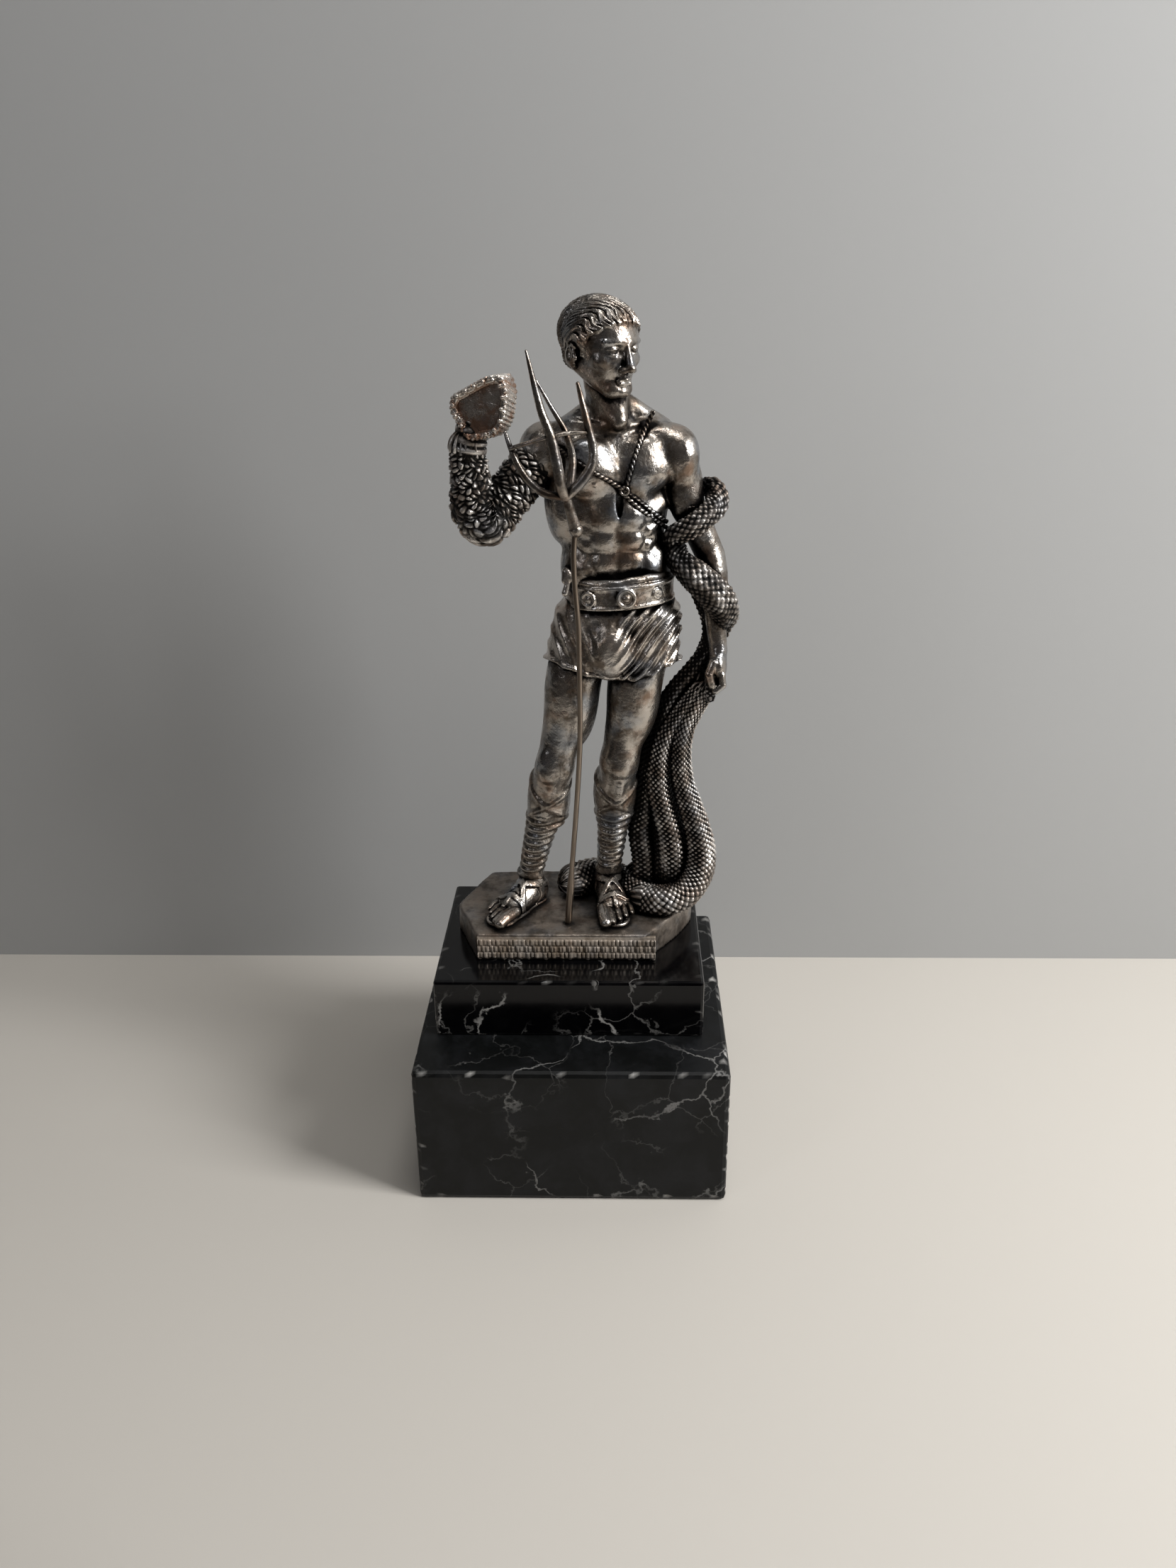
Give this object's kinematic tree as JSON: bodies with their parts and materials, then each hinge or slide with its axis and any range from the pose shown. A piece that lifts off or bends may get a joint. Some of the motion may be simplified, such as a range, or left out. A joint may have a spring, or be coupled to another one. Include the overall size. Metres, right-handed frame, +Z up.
{
  "type": "gladiator statuette",
  "caption": "Cast silvered metal statuette of a net-and-trident gladiator on a stepped black marble plinth, with a brass-shafted trident.",
  "frame": {"origin": "middle of the underside of the lower marble block, on the surface that the statuette stands on", "axes": "+Z up the figure's height, +X towards the figure's left hand, -Y the way the figure and the plinth face"},
  "size_m": [0.101, 0.1, 0.2737],
  "materials": {
    "silvered_casting": "antiqued silver plate, bright on the high forms and black in the recesses",
    "silvered_fork": "silver plate, worn bright",
    "brass_rod": "dull drawn brass",
    "polished_marble": "polished black marble with white veins",
    "honed_marble": "honed black marble with grey veins and chipped edges"
  },
  "bodies": {
    "root": {"figure": "silvered_casting", "trident_head": "silvered_fork", "trident_shaft": "brass_rod", "plinth_upper": "polished_marble", "plinth_lower": "honed_marble"}
  },
  "joints": []
}
